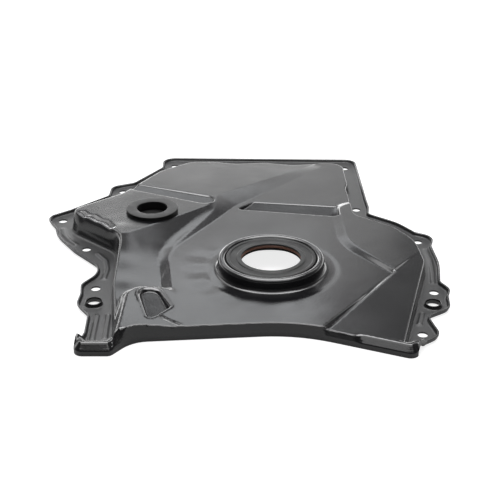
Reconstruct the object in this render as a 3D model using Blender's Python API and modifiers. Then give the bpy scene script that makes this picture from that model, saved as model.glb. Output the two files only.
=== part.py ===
# Pressed sheet-steel timing cover of a four-cylinder engine, lying on its block flange.
# The sheet is a drawn form: its outline, its raised and sunk fields and its walls are all
# belts, closed lines made of arcs about given centres with straight tangents between them.
# Plan sizes are in millimetres from the crankshaft axis; the mesh is written in metres.
import math

import bpy
import bmesh
import numpy as np
from mathutils import Vector
from mathutils.geometry import delaunay_2d_cdt

MM = 0.001

# Sheet and flange
SHEET = 1.2
LIP_RISE = 1.8
LIP_RUN = 2.0
BOLT_HOLE = 7.0
EAR = 10.5
SEAT_GAP = 0.3

# Heights of the drawn fields above the block face
FLOOR_Z = 7.0
CRANK_FIELD_Z = 10.0
LOBE_Z = 12.5
LOBE_TILT = 0.025
LOBE_LEVEL_X = 90.0
BOSS_Z = 12.5
PLATEAU_START = (29.0, 196.0)
PLATEAU_RISE = 0.039
PLATEAU_BEARING = math.radians(227.5)
PANEL_NEAR_Z = 7.6
PANEL_FALL = 0.045
PANEL_FRONT_Y = -98.0

# Sump flange along the front edge
RAIL_Z = 8.0
RAIL_FALL = 1.0
RAIL_WIDTH = 3.0
RAIL_STEP = 0.7
SUMP_BEND_Z = 4.2
SETBACK_MIDDLE = 1.2
SETBACK_FOOT = 8.0
FEET = ((-108.0, 17.0), (70.0, 17.0))
SUMP_LEFT_END = (-127.5, -98.0)
SUMP_RIGHT_END = (92.5, -100.0)

# Crankshaft seal and the collar that holds it
SEAL_OD = 65.0
SEAL_BAND = 9.0
SEAL_HEIGHT = 9.5
LIP_REACH = 2.1
COLLAR_HEIGHT = 9.0
COLLAR_WALL = 5.6
COLLAR_FLARE = 3.4
SEAL_BELOW_RIM = 0.8
SEAL_BEVEL = 0.8
SEAL_GROOVE = 0.9
DUST_LIP = 0.9
LIP_WALL = 0.8

# Sealing plug in the upper left
PLUG_CENTRE = (-93.0, 87.0)
PLUG_FLANGE = 41.0
PLUG_NECK = PLUG_FLANGE - 7.6
PLUG_RECESS = PLUG_NECK - 9.4
PLUG_RIM = 3.8
PLUG_DEPTH = 7.5
PLUG_WALL = 2.4
PLUG_BEVEL = 0.6

# Dowel necks drawn up from the flange
DOWEL_BORE = 9.2
DOWEL_NECK = 3.0
DOWEL_FLARE = 0.9

# Ribs pressed into the flange
BEAD_RISE = 1.1
BEAD_HALF = 2.4

# Mesh spacing
STEP_LONG = 10.0
STEP_TURN = math.radians(24.0)
ARC_SAG = 0.45
GRID = 18.0
SNAP = 1.1
SAME = 0.05
ROUND_COUNT = 60
PLUG_COUNT = 36
BOLT_COUNT = 16
DOWEL_COUNT = 18
SHARP_FROM = math.radians(32.0)

HOLES = {
    "top_left": (-85.0, 226.0),
    "left_upper": (-126.0, 164.0),
    "left_corner": (-168.0, 102.0),
    "left_shoulder": (-141.0, 49.0),
    "left_lower": (-125.0, -15.0),
    "top_right": (72.0, 220.0),
    "right_upper": (74.0, 125.0),
    "right_shoulder": (116.0, 62.0),
    "right_middle": (115.0, -21.0),
    "right_lower": (98.0, -79.0),
}
DOWELS = {"left_dowel": (-123.0, -38.5), "right_dowel": (111.0, -41.0)}


def ear(name, radius=EAR):
    x, y = HOLES.get(name) or DOWELS[name]
    return (x, y, radius, 1)


# The rim of the sheet, anticlockwise from the right foot: centre, radius and turn
# (1 runs round the outside of its centre, -1 is a bite).
RIM = [
    (86.5, -100.5, 6.0, 1),
    (101.5, -94.5, 4.0, -1), ear("right_lower"),
    (112.0, -62.0, 6.5, -1), ear("right_dowel", EAR + 1.0),
    (126.8, -31.0, 3.5, -1), ear("right_middle", EAR + 0.5),
    (127.5, -8.0, 6.0, -1), (35.5, 25.0, 90.0, 1),
    (129.5, 50.0, 5.0, -1), ear("right_shoulder", EAR + 1.0),
    (119.5, 79.5, 5.5, -1), (68.0, 62.0, 47.5, 1),
    (87.0, 113.0, 4.0, -1), ear("right_upper"),
    (89.0, 139.5, 5.0, -1), (73.0, 227.0, 10.0, 1),
    (-85.0, 230.0, 11.0, 1), (-101.5, 218.5, 6.0, -1),
    (-121.5, 184.5, 6.0, -1), ear("left_upper"),
    (-142.5, 152.5, 6.0, -1), (-168.5, 124.0, 6.0, -1), ear("left_corner", EAR + 0.5),
    (-176.5, 82.0, 6.0, -1), (-128.0, 86.0, 42.0, 1), ear("left_shoulder", EAR + 0.5),
    (-147.5, 8.0, 20.5, -1), ear("left_lower"),
    (-137.5, -27.0, 3.5, -1), ear("left_dowel", EAR + 1.0),
    (-131.5, -59.0, 7.0, -1), (-133.5, -80.0, 10.0, -1), (-121.5, -98.0, 6.0, 1),
    (-106.0, -99.5, 4.5, 1), (-80.0, -107.0, 21.0, -1), (0.0, -180.0, 100.5, -1),
]

# Crest of the chamber wall; the fifth value is how far out its foot lies
CHAMBER = [
    (67.5, -128.5, 6.0, 1, 3.0), (97.5, 9.0, 14.0, 1, 3.5), (66.0, 29.0, 45.5, 1, 3.5),
    (72.0, 48.0, 32.0, 1, 3.5), (84.0, 99.0, 15.0, -1, 3.5),
    (60.0, 139.0, 8.0, 1, 3.5), (71.5, 151.0, 5.5, -1, 3.0), (60.0, 163.0, 8.0, 1, 3.5),
    (57.0, 199.0, 10.5, 1, 4.0), (44.0, 201.0, 9.0, 1, 4.0), (23.0, 221.5, 16.0, -1, 4.0),
    (-2.0, 201.0, 9.0, 1, 4.0), (-27.0, 221.5, 16.0, -1, 4.0), (-48.0, 200.0, 9.0, 1, 4.0),
    (-62.0, 193.0, 15.0, 1, 4.0), (-84.0, 176.0, 11.0, 1, 4.5),
    (-131.5, 134.5, 14.0, -1, 5.0), (-145.5, 88.0, 7.0, 1, 7.0),
    (-141.0, 83.3, 7.0, 1, 9.0), (-138.3, 30.7, 28.0, -1, 7.0),
    (-104.5, -22.0, 5.0, 1, 4.0), (-112.0, -42.0, 5.0, -1, 4.0),
    (-96.5, -72.0, 6.5, 1, 4.0), (-92.0, -128.0, 6.0, 1, 4.0),
]

# Left plateau: its crest and the foot of the broad slope below it
PLATEAU_CREST = [
    (40.0, 215.0, 6.0, 1, 0.0), (-200.0, 260.0, 6.0, 1, 0.0), (-200.0, 40.0, 6.0, 1, 0.0),
    (-112.0, 50.0, 8.0, 1, 0.0), (-57.0, 107.0, 8.0, 1, 0.0), (-34.0, 124.0, 8.0, -1, 0.0),
]
PLATEAU_FOOT = [
    (44.0, 205.0, 6.0, 1, 0.0), (-200.0, 270.0, 6.0, 1, 0.0), (-200.0, -40.0, 6.0, 1, 0.0),
    (-94.0, -24.0, 14.0, 1, 0.0), (-60.0, 30.0, 18.0, -1, 0.0), (-18.0, 104.0, 12.0, -1, 0.0),
]

CRANK_FIELD = [
    (150.0, -150.0, 6.0, 1, 5.0), (150.0, 280.0, 6.0, 1, 5.0), (-30.0, 280.0, 6.0, 1, 5.0),
    (-54.0, 102.0, 11.0, -1, 8.0), (2.0, 16.0, 76.0, 1, 12.0), (-76.0, -34.0, 7.0, -1, 6.0),
    (-70.0, -58.0, 9.0, 1, 5.0), (-70.0, -150.0, 9.0, 1, 5.0),
]
LOBE = [
    (140.0, 120.0, 5.0, 1, 4.0), (73.0, 100.0, 15.0, 1, 5.0), (113.5, 58.0, 55.0, 1, 5.0),
    (92.0, -9.5, 1.5, 1, 3.0), (127.0, 37.0, 5.0, 1, 3.0),
]
PANEL = [
    (34.0, -132.0, 2.0, 1, 2.5), (130.0, -132.0, 2.0, 1, 2.5), (130.0, -8.0, 2.0, 1, 2.5),
    (90.0, -10.0, 2.0, 1, 2.2), (37.0, -84.0, 2.0, 1, 2.2),
]
BOSS = [
    (-69.0, -125.0, 4.0, 1, 7.0), (-79.0, -45.0, 12.0, 1, 7.0), (-86.0, -46.0, 12.0, 1, 7.0),
    (-96.0, -125.0, 4.0, 1, 7.0),
]
SCOOP = [
    (-75.0, -58.0, 6.0, 1, 3.0), (-84.0, -43.0, 7.5, 1, 3.0), (-82.0, -62.0, 6.0, 1, 3.0),
]
SCOOP_DEPTH = (2.4, 5.2)
SCOOP_SPAN = (-36.0, -66.0)
POCKETS = [
    ([(-51.5, 114.5, 8.0, 1, 1.8), (-111.0, 141.0, 3.5, 1, 1.8), (-112.0, 136.0, 2.5, 1, 1.8)], 3.6),
    ([(55.0, 93.5, 1.5, 1, 1.8), (55.5, 109.5, 1.5, 1, 1.8), (-11.0, 119.0, 2.0, 1, 1.8),
      (-22.0, 108.0, 1.5, 1, 1.8)], 3.6),
]
POCKET_SHALLOW = 0.25
POCKET_SPAN = 17.0
GROOVE = ((88.0, -8.0), (34.0, -84.0))
GROOVE_HALF = 1.6
GROOVE_DEPTH = (0.3, 0.8)

BEADS = [
    [(-165.5, 86.0), (-162.5, 75.0), (-157.0, 65.0), (-150.0, 56.5)],
    [(-131.0, 41.0), (-123.5, 29.0), (-120.5, 14.0), (-121.0, 0.0)],
    [(-118.5, -54.0), (-117.5, -86.0)],
    [(-111.0, -54.0), (-109.5, -84.0)],
    [(119.8, 48.0), (120.5, 30.0), (119.0, 12.0), (116.5, -7.0)],
    [(102.0, -52.0), (98.0, -66.0)],
]


def turn_points(centre, radius, start, sweep):
    """Points on an arc, both ends included; a bite comes in with its radius negative."""
    flat = 2 * math.acos(max(0.0, 1.0 - ARC_SAG / abs(radius)))
    count = max(1, math.ceil(abs(sweep) / min(STEP_TURN, flat)))
    angles = [start + sweep * k / count for k in range(count + 1)]
    return [(centre[0] + radius * math.cos(a), centre[1] + radius * math.sin(a)) for a in angles]


def belt(circles, outward=0.0, with_runs=False):
    """Closed line of arcs and tangents round a list of circles, anticlockwise."""
    items = []
    for circle in circles:
        grow = circle[4] if with_runs else outward
        radius = max(circle[2] + circle[3] * grow, 0.4)
        items.append((circle[0], circle[1], radius * circle[3]))
    touch = []
    for (x0, y0, r0), (x1, y1, r1) in zip(items, items[1:] + items[:1]):
        span = math.hypot(x1 - x0, y1 - y0)
        bearing = math.atan2(y1 - y0, x1 - x0)
        tilt = math.asin(max(-1.0, min(1.0, (r0 - r1) / span)))
        normal = bearing - math.pi / 2 + tilt
        touch.append(normal)
    points = []
    for i, (x, y, r) in enumerate(items):
        first = touch[i - 1]
        sweep = (touch[i] - first) % (2 * math.pi)
        if r < 0:
            sweep -= 2 * math.pi
        if abs(sweep) > 1.9 * math.pi:
            sweep = 0.0
        points += turn_points((x, y), r, first, sweep)
    return np.array(points)


def spaced(line, closed=True, step=STEP_LONG):
    """The same line with extra points on its long straights."""
    out = []
    ends = line[1:] + line[:1] if closed else line[1:]
    for a, b in zip(line, ends):
        count = max(1, math.ceil(math.dist(a, b) / step))
        out += [(a[0] + (b[0] - a[0]) * k / count, a[1] + (b[1] - a[1]) * k / count) for k in range(count)]
    if not closed:
        out.append(line[-1])
    return out


def line_distance(points, line, closed=True):
    """Shortest distance from each point to a line of straight pieces."""
    ends = np.roll(line, -1, axis=0) if closed else line[1:]
    starts = line if closed else line[:-1]
    best = np.full(len(points), 1e9)
    for a, b in zip(starts, ends):
        side = b - a
        share = ((points - a) @ side) / max(side @ side, 1e-9)
        foot = a + np.clip(share, 0.0, 1.0)[:, None] * side
        best = np.minimum(best, np.hypot(*(points - foot).T))
    return best


def is_inside(points, line):
    """Which points a closed line goes round."""
    inside = np.zeros(len(points), bool)
    x, y = points.T
    for (x0, y0), (x1, y1) in zip(line, np.roll(line, -1, axis=0)):
        crosses = (y0 > y) != (y1 > y)
        rise = y1 - y0 if y1 != y0 else 1e-9
        inside ^= crosses & (x < (x1 - x0) * (y - y0) / rise + x0)
    return inside


def ease(share):
    """Rounded step from 0 to 1: the foot and the crest of a pressed wall."""
    t = np.clip(share, 0.0, 1.0)
    return t * t * (3.0 - 2.0 * t)


def field(points, crest, foot):
    """1 on a raised field, 0 past the foot of its wall, eased between the two."""
    up = is_inside(points, crest)
    down = ~is_inside(points, foot)
    to_crest = line_distance(points, crest)
    to_foot = line_distance(points, foot)
    share = to_foot / np.maximum(to_foot + to_crest, 1e-9)
    return np.where(up, 1.0, np.where(down, 0.0, ease(share)))


def wall_lines(circles):
    return belt(circles), belt(circles, with_runs=True)


CHAMBER_LINES = wall_lines(CHAMBER)
PLATEAU_LINES = (belt(PLATEAU_CREST), belt(PLATEAU_FOOT))
CRANK_LINES = wall_lines(CRANK_FIELD)
LOBE_LINES = wall_lines(LOBE)
PANEL_LINES = wall_lines(PANEL)
BOSS_LINES = wall_lines(BOSS)
SCOOP_LINES = (belt(SCOOP, outward=-SCOOP[0][4]), belt(SCOOP))
POCKET_LINES = [(belt(rim, outward=-rim[0][4]), belt(rim)) for rim, depth in POCKETS]
RIM_LINE = belt(RIM)


def front_part(line):
    """The stretch of the rim that is folded down as the sump flange, right foot to left."""
    left = min(range(len(line)), key=lambda i: math.dist(line[i], SUMP_LEFT_END))
    right = min(range(len(line)), key=lambda i: math.dist(line[i], SUMP_RIGHT_END))
    count = (right - left) % len(line)
    return [(left + k) % len(line) for k in range(count + 1)]


FRONT_LINE = RIM_LINE[front_part(RIM_LINE)]


def plateau_height(points):
    """The left plateau rises towards its lower left end."""
    away = points - np.array(PLATEAU_START)
    along = away @ np.array((math.cos(PLATEAU_BEARING), math.sin(PLATEAU_BEARING)))
    return CRANK_FIELD_Z + PLATEAU_RISE * along


def height(points):
    """Upper face of the sheet above the block face, at each plan point."""
    points = np.asarray(points, float)
    x, y = points.T
    inner = np.full(len(points), FLOOR_Z)

    def lay(level, lines):
        share = field(points, *lines)
        return inner + (level - inner) * share

    inner = lay(CRANK_FIELD_Z, CRANK_LINES)
    inner = lay(LOBE_Z + LOBE_TILT * (x - LOBE_LEVEL_X), LOBE_LINES)
    inner = lay(PANEL_NEAR_Z + PANEL_FALL * (y - PANEL_FRONT_Y), PANEL_LINES)
    inner = lay(plateau_height(points), PLATEAU_LINES)
    inner = lay(BOSS_Z, BOSS_LINES)
    deep = np.interp(-y, [-end for end in SCOOP_SPAN], SCOOP_DEPTH)
    inner = inner - deep * field(points, *SCOOP_LINES)
    for (rim, depth), lines in zip(POCKETS, POCKET_LINES):
        far = max(c[1] for c in rim) + rim[0][2]
        fall = np.clip((far - y) / POCKET_SPAN, POCKET_SHALLOW, 1.0)
        inner = inner - depth * fall * field(points, *lines)
    start, end = np.array(GROOVE)
    reach = line_distance(points, np.array(GROOVE), closed=False)
    along = np.clip(((points - start) @ (end - start)) / ((end - start) @ (end - start)), 0.0, 1.0)
    deep = GROOVE_DEPTH[0] + (GROOVE_DEPTH[1] - GROOVE_DEPTH[0]) * along
    inner = inner - deep * ease(1.0 - reach / GROOVE_HALF)

    flange = np.full(len(points), SHEET)
    for bead in BEADS:
        reach = line_distance(points, np.array(bead), closed=False)
        flange = flange + BEAD_RISE * ease(1.0 - reach / BEAD_HALF)
    top = flange + (inner - flange) * field(points, *CHAMBER_LINES)

    to_front = line_distance(points, FRONT_LINE, closed=False)
    setback = np.full(len(points), SETBACK_MIDDLE)
    for foot_x, half in FEET:
        setback = setback + (SETBACK_FOOT - SETBACK_MIDDLE) * ease(1.0 - np.abs(x - foot_x) / half)
    rail = RAIL_Z - RAIL_FALL * np.maximum(to_front - setback - RAIL_WIDTH, 0.0)
    top = np.maximum(top, rail)
    top = top - RAIL_STEP * ease(1.0 - (to_front - setback) / RAIL_WIDTH)
    lean = SUMP_BEND_Z + (top - SUMP_BEND_Z) * ease(0.5 + 0.5 * to_front / setback)
    top = np.where(to_front < setback, np.minimum(top, lean), top)

    to_rim = line_distance(points, RIM_LINE)
    lip = LIP_RISE * ease(1.0 - to_rim / LIP_RUN) * ease((to_front - 2.0) / 6.0)
    return top + lip


def circle_line(centre, radius, count):
    return [(centre[0] + radius * math.cos(2 * math.pi * k / count),
             centre[1] + radius * math.sin(2 * math.pi * k / count)) for k in range(count)]


class Plan:
    """Points and fixed edges in plan, with near points snapped together."""

    def __init__(self):
        self.points = []
        self.edges = set()
        self.cells = {}

    def add(self, point, snap=SNAP):
        cell = (round(point[0] / SNAP), round(point[1] / SNAP))
        for dx in (-1, 0, 1):
            for dy in (-1, 0, 1):
                for i in self.cells.get((cell[0] + dx, cell[1] + dy), ()):
                    if math.dist(self.points[i], point) < snap:
                        return i
        self.points.append(point)
        self.cells.setdefault(cell, []).append(len(self.points) - 1)
        return len(self.points) - 1

    def loop(self, line, closed=True):
        ids = [self.add(p, SAME) for p in line]
        ends = ids[1:] + ids[:1] if closed else ids[1:]
        self.edges |= {(a, b) for a, b in zip(ids, ends) if a != b}
        return ids

    def crease(self, line, keep, closed=True):
        line = spaced([tuple(p) for p in line], closed)
        good = keep(np.array(line))
        ids = [self.add(p) if ok else None for p, ok in zip(line, good)]
        ends = ids[1:] + ids[:1] if closed else ids[1:]
        for a, b in zip(ids, ends):
            if a is not None and b is not None and a != b:
                self.edges.add((a, b))


def sheet_mesh():
    """One open surface: the upper face of the whole pressing, ready for its thickness."""
    plan = Plan()
    rim_points = spaced([tuple(p) for p in RIM_LINE])
    rim = plan.loop(rim_points)
    inset = belt(RIM, outward=-LIP_RUN)
    collar_foot = SEAL_OD / 2 + SEAT_GAP + COLLAR_WALL + COLLAR_FLARE
    dowel_foot = DOWEL_BORE / 2 + SHEET + DOWEL_FLARE
    cuts = []
    for centre in HOLES.values():
        cuts.append(("bolt", centre, BOLT_HOLE / 2, BOLT_COUNT))
    for centre in DOWELS.values():
        cuts.append(("dowel", centre, dowel_foot, DOWEL_COUNT))
    cuts.append(("collar", (0.0, 0.0), collar_foot, ROUND_COUNT))
    cuts.append(("plug", PLUG_CENTRE, PLUG_NECK / 2 + SEAT_GAP, PLUG_COUNT))
    loops = [plan.loop(circle_line(centre, radius, count)) for kind, centre, radius, count in cuts]

    def clear(points, margin=1.6):
        good = is_inside(points, RIM_LINE) & (line_distance(points, RIM_LINE) > margin)
        for kind, centre, radius, count in cuts:
            good &= np.hypot(*(points - np.array(centre)).T) > radius + margin
        return good

    plan.crease(inset, lambda p: clear(p, 0.9 * LIP_RUN))
    for share in (0.0, 0.35, 0.7, 1.0):
        grown = [c[:4] + (c[4] * (1.0 - share),) for c in CHAMBER]
        plan.crease(belt(grown, with_runs=True), clear)
    fields = [PLATEAU_LINES, CRANK_LINES, LOBE_LINES, PANEL_LINES, BOSS_LINES, SCOOP_LINES] + POCKET_LINES
    for crest, foot in fields:
        for line in (crest, foot):
            plan.crease(line, lambda p: clear(p) & is_inside(p, CHAMBER_LINES[0]))
    for half in (-GROOVE_HALF, 0.0, GROOVE_HALF):
        (x0, y0), (x1, y1) = GROOVE
        length = math.dist(*GROOVE)
        side = ((y0 - y1) / length * half, (x1 - x0) / length * half)
        ends = [(x0 + side[0], y0 + side[1]), (x1 + side[0], y1 + side[1])]
        plan.crease(ends, lambda p: clear(p), closed=False)
    for bead in BEADS:
        plan.crease(bead, clear, closed=False)
        for p, q in zip(bead, bead[1:]):
            length = math.dist(p, q)
            for half in (-BEAD_HALF, BEAD_HALF):
                side = ((p[1] - q[1]) / length * half, (q[0] - p[0]) / length * half)
                plan.crease([(p[0] + side[0], p[1] + side[1]), (q[0] + side[0], q[1] + side[1])],
                            clear, closed=False)
    front = [tuple(p) for p in FRONT_LINE]
    for step in (0.0, RAIL_WIDTH):
        line = []
        for a, b in zip(front, front[1:]):
            length = max(math.dist(a, b), 1e-6)
            middle = ((a[0] + b[0]) / 2, (a[1] + b[1]) / 2)
            set_in = SETBACK_MIDDLE
            for foot_x, half in FEET:
                set_in += (SETBACK_FOOT - SETBACK_MIDDLE) * float(ease(1.0 - abs(middle[0] - foot_x) / half))
            away = set_in + step
            line.append((middle[0] - (b[1] - a[1]) / length * away, middle[1] + (b[0] - a[0]) / length * away))
        plan.crease(line, lambda p: clear(p, 0.9), closed=False)
    low = RIM_LINE.min(axis=0)
    high = RIM_LINE.max(axis=0)
    rows = int((high[1] - low[1]) / GRID) + 1
    columns = int((high[0] - low[0]) / GRID) + 1
    grid = np.array([(low[0] + (i + 0.5 * (j % 2)) * GRID, low[1] + j * GRID)
                     for j in range(rows + 1) for i in range(columns + 1)])
    for p in grid[clear(grid, 4.0)]:
        plan.add(tuple(p), 1.0)

    verts, edges, faces, from_verts, _, _ = delaunay_2d_cdt(
        [Vector(p) for p in plan.points], list(plan.edges), [], 0, 1e-5)
    flat = np.array([tuple(v) for v in verts])
    middles = np.array([flat[list(f)].mean(axis=0) for f in faces])
    keep = is_inside(middles, np.array(rim_points))
    for kind, centre, radius, count in cuts:
        keep &= ~is_inside(middles, np.array(circle_line(centre, radius, count)))
    new_of = {}
    for new, olds in enumerate(from_verts):
        for old in olds:
            new_of[old] = new

    level = height(flat)
    mesh = bmesh.new()
    made = [mesh.verts.new((p[0], p[1], z)) for p, z in zip(flat, level)]
    for face, ok in zip(faces, keep):
        if ok:
            mesh.faces.new([made[i] for i in face])

    def sweep(loop, rings):
        """Carries a closed edge on through rings of (radius, height)."""
        before = [made[new_of[i]] for i in loop]
        centre = sum((v.co for v in before), Vector()) / len(before)
        for radius, z in rings:
            after = []
            for k in range(len(before)):
                angle = 2 * math.pi * k / len(before)
                after.append(mesh.verts.new((centre.x + radius * math.cos(angle),
                                             centre.y + radius * math.sin(angle), z)))
            for k in range(len(before)):
                n = (k + 1) % len(before)
                mesh.faces.new((before[k], before[n], after[n], after[k]))
            before = after

    for (kind, centre, radius, count), loop in zip(cuts, loops):
        if kind == "dowel":
            neck = DOWEL_BORE / 2 + SHEET
            sweep(loop, [(neck + 0.1, SHEET + 0.6), (neck, SHEET + DOWEL_NECK)])
        if kind == "collar":
            seat = SEAL_OD / 2 + SEAT_GAP
            outer = seat + COLLAR_WALL
            base = CRANK_FIELD_Z
            rim_z = base + COLLAR_HEIGHT
            turn = COLLAR_WALL / 2
            rings = [(outer + 0.5, base + 1.3), (outer, rim_z - turn)]
            for k in range(1, 6):
                angle = math.pi * k / 6
                rings.append((seat + turn + turn * math.cos(angle), rim_z - turn + turn * math.sin(angle)))
            rings += [(seat, rim_z - turn), (seat, base - 0.5)]
            sweep(loop, rings)

    skirt = [made[new_of[i]] for i in rim]
    gaps = line_distance(np.array([v.co[:2] for v in skirt]), FRONT_LINE, closed=False)
    in_front = {k for k, gap in enumerate(gaps) if gap < SAME}
    below = {}
    for k in in_front:
        v = skirt[k]
        below[k] = mesh.verts.new((v.co.x, v.co.y, 0.0))
    for k in in_front:
        n = (k + 1) % len(skirt)
        if n in in_front:
            mesh.faces.new((skirt[n], skirt[k], below[k], below[n]))

    for v in [v for v in mesh.verts if not v.link_faces]:
        mesh.verts.remove(v)
    for v in mesh.verts:
        v.co *= MM
    return mesh


def material(name, colour, roughness, metallic=0.0):
    made = bpy.data.materials.new(name)
    made.use_nodes = True
    shader = made.node_tree.nodes["Principled BSDF"]
    shader.inputs["Base Color"].default_value = (*colour, 1.0)
    shader.inputs["Roughness"].default_value = roughness
    shader.inputs["Metallic"].default_value = metallic
    return made


def add_object(name, mesh, collection, parent, finish):
    made = bpy.data.objects.new(name, mesh)
    collection.objects.link(made)
    made.parent = parent
    mesh.materials.append(finish)
    mesh.shade_smooth()
    mesh.set_sharp_from_angle(angle=SHARP_FROM)
    return made


def turned(name, profile, collection, parent, finish, count=ROUND_COUNT, is_ring=True):
    """A profile of (radius, height), turned about Z with a Screw modifier.

    A ring's profile closes on itself; a full piece's starts and ends on the axis.
    """
    mesh = bpy.data.meshes.new(name)
    points = [(r * MM, 0.0, z * MM) for r, z in profile]
    edges = [(k, k + 1) for k in range(len(points) - 1)]
    if is_ring:
        edges.append((len(points) - 1, 0))
    mesh.from_pydata(points, edges, [])
    made = add_object(name, mesh, collection, parent, finish)
    screw = made.modifiers.new("turn", "SCREW")
    screw.axis = "Z"
    screw.angle = 2 * math.pi
    screw.steps = count
    screw.render_steps = count
    screw.use_merge_vertices = True
    screw.merge_threshold = 0.00001
    screw.use_smooth_shade = True
    return made


def empty(name, location, collection, parent=None):
    made = bpy.data.objects.new(name, None)
    made.location = location
    made.parent = parent
    collection.objects.link(made)
    return made


def build_cover(collection, axis, finish):
    surface = sheet_mesh()
    mesh = bpy.data.meshes.new("cover_plate")
    surface.to_mesh(mesh)
    surface.free()
    made = add_object("cover_plate", mesh, collection, axis, finish)
    wall = made.modifiers.new("sheet", "SOLIDIFY")
    wall.thickness = SHEET * MM
    wall.offset = -1.0
    wall.use_even_offset = False
    return made


def build_seal(collection, axis, rubber, ptfe):
    """Rubber-covered ring pressed into the collar, and the plastic lip held in it."""
    top = CRANK_FIELD_Z + COLLAR_HEIGHT - SEAL_BELOW_RIM
    low = top - SEAL_HEIGHT
    outer = SEAL_OD / 2
    inner = outer - SEAL_BAND
    bevel = SEAL_BEVEL
    sunk = top - SEAL_GROOVE
    dust = inner - DUST_LIP
    ring = [
        (outer, top - bevel), (outer, low + bevel), (outer - bevel, low), (inner + bevel, low),
        (inner, low + bevel), (inner, top - 2 * DUST_LIP), (dust, top - 1.3 * DUST_LIP),
        (dust, top - bevel), (dust + bevel / 2, top - SEAT_GAP), (inner + 2.5 * bevel, top - SEAT_GAP),
        (inner + 3 * bevel, sunk), (outer - 4 * bevel, sunk), (outer - 3.5 * bevel, top), (outer - bevel, top),
    ]
    turned("crank_seal_ring", ring, collection, axis, rubber)
    lip_out = inner - SEAT_GAP
    lip_in = inner - LIP_REACH
    thin = LIP_WALL
    upper = top - 2.5 * DUST_LIP
    lower = low + 2 * bevel
    lip = [
        (lip_out, upper), (lip_out, lower), (lip_out - thin, lower), (lip_in, lower + 2 * thin),
        (lip_in, lower + 4 * thin), (lip_out - thin, upper - thin), (lip_out - thin, upper),
    ]
    turned("crank_seal_lip", lip, collection, axis, ptfe)


def build_plug(collection, axis, finish):
    """Cup-shaped sealing plug: a flange over the sheet, a neck through it and a round recess."""
    centre = np.array([PLUG_CENTRE])
    level = float(plateau_height(centre)[0])
    seat = empty("plug_seat", (PLUG_CENTRE[0] * MM, PLUG_CENTRE[1] * MM, level * MM), collection, axis)
    slope = Vector((-PLATEAU_RISE * math.cos(PLATEAU_BEARING), -PLATEAU_RISE * math.sin(PLATEAU_BEARING), 1.0))
    seat.rotation_mode = "QUATERNION"
    seat.rotation_quaternion = Vector((0.0, 0.0, 1.0)).rotation_difference(slope)
    rim = PLUG_FLANGE / 2
    neck = PLUG_NECK / 2
    recess = PLUG_RECESS / 2
    face = PLUG_RIM
    floor_z = face - PLUG_DEPTH
    foot_z = floor_z - PLUG_WALL
    bevel = PLUG_BEVEL
    cup = [
        (0.0, floor_z), (recess - bevel, floor_z), (recess, floor_z + bevel), (recess, face - bevel),
        (recess + bevel, face), (rim - bevel, face), (rim, face - bevel), (rim, SEAT_GAP),
        (neck, SEAT_GAP), (neck, foot_z + bevel), (neck - bevel, foot_z), (0.0, foot_z),
    ]
    return turned("sealing_plug", cup, collection, seat, finish, count=PLUG_COUNT, is_ring=False)


def main():
    for old in list(bpy.data.objects):
        bpy.data.objects.remove(old, do_unlink=True)
    collection = bpy.data.collections.new("timing_cover")
    bpy.context.scene.collection.children.link(collection)
    middle = (RIM_LINE.min(axis=0) + RIM_LINE.max(axis=0)) / 2
    axis = empty("crank_axis", (-middle[0] * MM, -middle[1] * MM, 0.0), collection)
    coat = material("black_coated_steel", (0.012, 0.012, 0.013), 0.22)
    rubber = material("seal_rubber", (0.008, 0.008, 0.008), 0.45)
    ptfe = material("brown_lip_plastic", (0.12, 0.05, 0.03), 0.35)
    build_cover(collection, axis, coat)
    build_seal(collection, axis, rubber, ptfe)
    build_plug(collection, axis, rubber)


main()
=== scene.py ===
import math

import bmesh
import bpy
import numpy as np
from mathutils import Matrix, Vector
from mathutils.geometry import delaunay_2d_cdt


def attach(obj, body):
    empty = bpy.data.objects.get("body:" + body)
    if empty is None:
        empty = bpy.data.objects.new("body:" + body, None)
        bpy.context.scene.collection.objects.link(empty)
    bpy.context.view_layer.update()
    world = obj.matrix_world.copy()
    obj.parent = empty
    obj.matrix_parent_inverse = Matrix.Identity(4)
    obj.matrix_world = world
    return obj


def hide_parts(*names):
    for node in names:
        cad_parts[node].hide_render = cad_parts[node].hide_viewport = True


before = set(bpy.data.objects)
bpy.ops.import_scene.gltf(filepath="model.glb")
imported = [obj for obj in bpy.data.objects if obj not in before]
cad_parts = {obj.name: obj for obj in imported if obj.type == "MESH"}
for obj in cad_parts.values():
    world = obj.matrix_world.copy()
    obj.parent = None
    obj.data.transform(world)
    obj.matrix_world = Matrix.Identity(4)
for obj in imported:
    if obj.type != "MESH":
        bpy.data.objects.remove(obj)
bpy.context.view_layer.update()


# The cover: one sheet of 1.2 mm drawing steel, pressed in several hits, trimmed, pierced and
# dip-coated. It is bolted round its flange to the end of the block and closes the sump in front.
# Sizes are in millimetres, and places are measured from the crankshaft axis.
MM = 0.001
AXIS = np.array((25.7105, -67.2498))
SHEET = 1.2

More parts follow.
